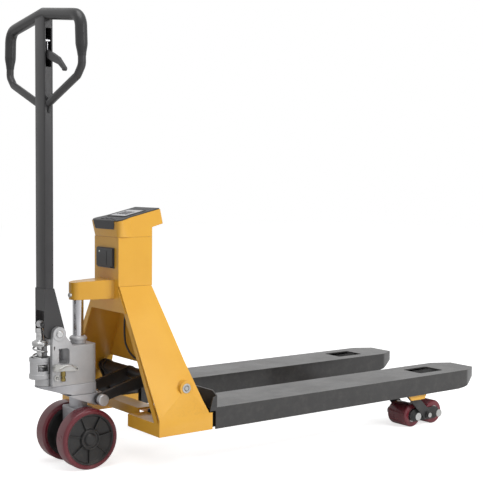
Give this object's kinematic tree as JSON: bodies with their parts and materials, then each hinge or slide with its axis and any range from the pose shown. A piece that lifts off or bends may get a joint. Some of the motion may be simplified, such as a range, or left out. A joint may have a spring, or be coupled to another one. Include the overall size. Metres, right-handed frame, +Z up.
{
  "type": "pallet scale",
  "caption": "Hand pallet truck with two forks, a steered pump with a loop handle, and a weighing head with display and printer on its mast.",
  "frame": {"origin": "floor point straight below the middle of the steering wheels' axle, on the truck's middle plane", "axes": "+X along the forks to their tips, +Y to the left seen from the handle, +Z up"},
  "size_m": [1.5445, 0.561, 1.2691],
  "materials": {
    "orange_paint": "satin powder coat",
    "black_paint": "satin powder coat, fine texture",
    "handle_black": "satin paint",
    "lever_black": "moulded, fine texture",
    "grip_rubber": "matt, fine grain",
    "cast_silver": "as cast, silver lacquer",
    "plate_grey": "grey paint",
    "chrome": "hard chrome, polished",
    "zinc": "zinc plated",
    "load_cell_alloy": "machined",
    "dark_steel": "black paint over steel",
    "maroon_tyre": "cast polyurethane, satin",
    "hub_black": "moulded nylon",
    "panel_grey": "fine moulded texture",
    "display_glass": "clear window over a grey-green display",
    "key_grey": "soft keys",
    "cable_black": "cable sheath"
  },
  "bodies": {
    "base": {"thrust_plate": "plate_grey", "thrust_pin": "zinc", "thrust_bearing": "dark_steel"},
    "pump": {"pump_base": "plate_grey", "pump_casting": "cast_silver", "pump_cylinder": "cast_silver", "gland_nut": "cast_silver", "steering_stem": "plate_grey", "wheel_axle": "zinc", "handle_pin": "zinc", "pump_spring": "zinc"},
    "wheel_left": {"steer_tyre_left": "maroon_tyre", "steer_hub_left": "hub_black"},
    "wheel_right": {"steer_tyre_right": "maroon_tyre", "steer_hub_right": "hub_black"},
    "plunger": {"pump_plunger": "zinc"},
    "valve": {"release_lever": "zinc"},
    "handle": {"handle_bracket": "handle_black", "handle_shaft": "handle_black", "grip_bow": "grip_rubber", "loop_tube_left": "handle_black", "loop_tube_right": "handle_black"},
    "press_roller": {"pressing_roller": "zinc"},
    "control": {"control_lever": "lever_black"},
    "control_link": {"control_rod": "zinc"},
    "frame": {"mast_column": "orange_paint", "side_plate_left": "orange_paint", "side_plate_right": "orange_paint", "cross_beam": "orange_paint", "lift_arm": "orange_paint", "ram_rod": "chrome", "head_housing": "orange_paint", "display_panel": "panel_grey", "display_window": "display_glass", "printer_case": "panel_grey", "battery_cover": "black_paint", "fork_beam_left": "orange_paint", "fork_beam_right": "orange_paint", "fork_cover_left": "black_paint", "fork_cover_right": "black_paint", "load_cell_heel_left": "load_cell_alloy", "load_cell_heel_right": "load_cell_alloy", "load_cell_tip_left": "load_cell_alloy", "load_cell_tip_right": "load_cell_alloy", "load_cell_cable": "cable_black"},
    "key_a": {"key_left": "key_grey"},
    "key_b": {"key_middle": "key_grey"},
    "key_c": {"key_right": "key_grey"},
    "door": {"printer_door": "panel_grey"},
    "rocker_body": {"rocker": "dark_steel"},
    "push_left": {"push_rod_left": "dark_steel"},
    "swing_left": {"roller_frame_left": "dark_steel"},
    "bogie_body_left": {"bogie_left": "zinc"},
    "roller_front_left": {"load_roller_front_left": "maroon_tyre"},
    "roller_rear_left": {"load_roller_rear_left": "maroon_tyre"},
    "push_right": {"push_rod_right": "dark_steel"},
    "swing_right": {"roller_frame_right": "dark_steel"},
    "bogie_body_right": {"bogie_right": "zinc"},
    "roller_front_right": {"load_roller_front_right": "maroon_tyre"},
    "roller_rear_right": {"load_roller_rear_right": "maroon_tyre"}
  },
  "joints": [
    {"name": "steering", "type": "hinge", "parent": "base", "child": "pump", "pos_m": [0.006, 0, 0.085], "axis": [0, 0, 1], "range_deg": [-90, 90]},
    {"name": "wheel_spin_left", "type": "hinge", "parent": "pump", "child": "wheel_left", "pos_m": [0, 0.062, 0.085], "axis": [0, 1, 0], "continuous": true},
    {"name": "wheel_spin_right", "type": "hinge", "parent": "pump", "child": "wheel_right", "pos_m": [0, -0.062, 0.085], "axis": [0, 1, 0], "continuous": true},
    {"name": "handle_tilt", "type": "hinge", "parent": "pump", "child": "handle", "pos_m": [-0.074, 0, 0.381], "axis": [0, -1, 0], "range_deg": [0, 65], "stiffness_Nm_per_rad": 30, "springref_deg": -8.59},
    {"name": "pump_stroke", "type": "slide", "parent": "pump", "child": "plunger", "axis": [0, 0, -1], "range_m": [0, 0.0485], "deforming": ["pump_spring"]},
    {"name": "press_roller_spin", "type": "hinge", "parent": "handle", "child": "press_roller", "pos_m": [-0.11, 0, 0.407], "axis": [0, 1, 0], "continuous": true},
    {"name": "valve_turn", "type": "hinge", "parent": "pump", "child": "valve", "pos_m": [-0.086, -0.0433, 0.289], "axis": [0, -1, 0], "range_deg": [0, 18], "stiffness_Nm_per_rad": 0.08, "springref_deg": -34.38},
    {"name": "control_turn", "type": "hinge", "parent": "handle", "child": "control", "pos_m": [-0.097, -0.01, 1.15], "axis": [1, 0, 0], "range_deg": [-12, 12], "stiffness_Nm_per_rad": 2.5},
    {"name": "control_rod_slide", "type": "slide", "parent": "handle", "child": "control_link", "axis": [0, 0, 1], "range_m": [-0.005, 0.005]},
    {"name": "lift", "type": "slide", "parent": "base", "child": "frame", "axis": [0, 0, 1], "range_m": [-0.09, 0.012]},
    {"name": "rocker_turn", "type": "hinge", "parent": "frame", "child": "rocker_body", "pos_m": [0.21, 0, 0.232], "axis": [0, -1, 0], "range_deg": [-31.5, 5]},
    {"name": "printer_door_hinge", "type": "hinge", "parent": "frame", "child": "door", "pos_m": [0.0912, 0, 0.558], "axis": [0, -1, 0], "range_deg": [0, 100]},
    {"name": "key_left_press", "type": "slide", "parent": "frame", "child": "key_a", "axis": [0.2135, 0, -0.9769], "range_m": [0, 0.0012], "stiffness_N_per_m": 300, "springref_m": -0.001},
    {"name": "key_middle_press", "type": "slide", "parent": "frame", "child": "key_b", "axis": [0.2135, 0, -0.9769], "range_m": [0, 0.0012], "stiffness_N_per_m": 300, "springref_m": -0.001},
    {"name": "key_right_press", "type": "slide", "parent": "frame", "child": "key_c", "axis": [0.2135, 0, -0.9769], "range_m": [0, 0.0012], "stiffness_N_per_m": 300, "springref_m": -0.001},
    {"name": "push_left_slide", "type": "slide", "parent": "frame", "child": "push_left", "axis": [1, 0, 0], "range_m": [-0.033, 0.005]},
    {"name": "swing_left_turn", "type": "hinge", "parent": "frame", "child": "swing_left", "pos_m": [1.0753, 0.198, 0.125], "axis": [0, 1, 0], "range_deg": [-46.5, 7]},
    {"name": "bogie_left_level", "type": "hinge", "parent": "swing_left", "child": "bogie_body_left", "pos_m": [1.166, 0.198, 0.039], "axis": [0, -1, 0], "range_deg": [-46.5, 7]},
    {"name": "roller_front_left_spin", "type": "hinge", "parent": "bogie_body_left", "child": "roller_front_left", "pos_m": [1.117, 0.198, 0.039], "axis": [0, 1, 0], "continuous": true},
    {"name": "roller_rear_left_spin", "type": "hinge", "parent": "bogie_body_left", "child": "roller_rear_left", "pos_m": [1.215, 0.198, 0.039], "axis": [0, 1, 0], "continuous": true},
    {"name": "push_right_slide", "type": "slide", "parent": "frame", "child": "push_right", "axis": [1, 0, 0], "range_m": [-0.033, 0.005]},
    {"name": "swing_right_turn", "type": "hinge", "parent": "frame", "child": "swing_right", "pos_m": [1.0753, -0.198, 0.125], "axis": [0, 1, 0], "range_deg": [-46.5, 7]},
    {"name": "bogie_right_level", "type": "hinge", "parent": "swing_right", "child": "bogie_body_right", "pos_m": [1.166, -0.198, 0.039], "axis": [0, -1, 0], "range_deg": [-46.5, 7]},
    {"name": "roller_front_right_spin", "type": "hinge", "parent": "bogie_body_right", "child": "roller_front_right", "pos_m": [1.117, -0.198, 0.039], "axis": [0, 1, 0], "continuous": true},
    {"name": "roller_rear_right_spin", "type": "hinge", "parent": "bogie_body_right", "child": "roller_rear_right", "pos_m": [1.215, -0.198, 0.039], "axis": [0, 1, 0], "continuous": true}
  ],
  "couplings": [
    {"joint": "pump_stroke", "follows": "handle_tilt", "m_per_rad": 0.04196},
    {"joint": "control_rod_slide", "follows": "control_turn", "m_per_rad": 0.022},
    {"joint": "rocker_turn", "follows": "lift", "rad_per_m": 5.97},
    {"joint": "push_left_slide", "follows": "lift", "ratio": 0.355},
    {"joint": "swing_left_turn", "follows": "lift", "rad_per_m": 8.78},
    {"joint": "bogie_left_level", "follows": "lift", "rad_per_m": 8.78},
    {"joint": "push_right_slide", "follows": "lift", "ratio": 0.355},
    {"joint": "swing_right_turn", "follows": "lift", "rad_per_m": 8.78},
    {"joint": "bogie_right_level", "follows": "lift", "rad_per_m": 8.78}
  ]
}
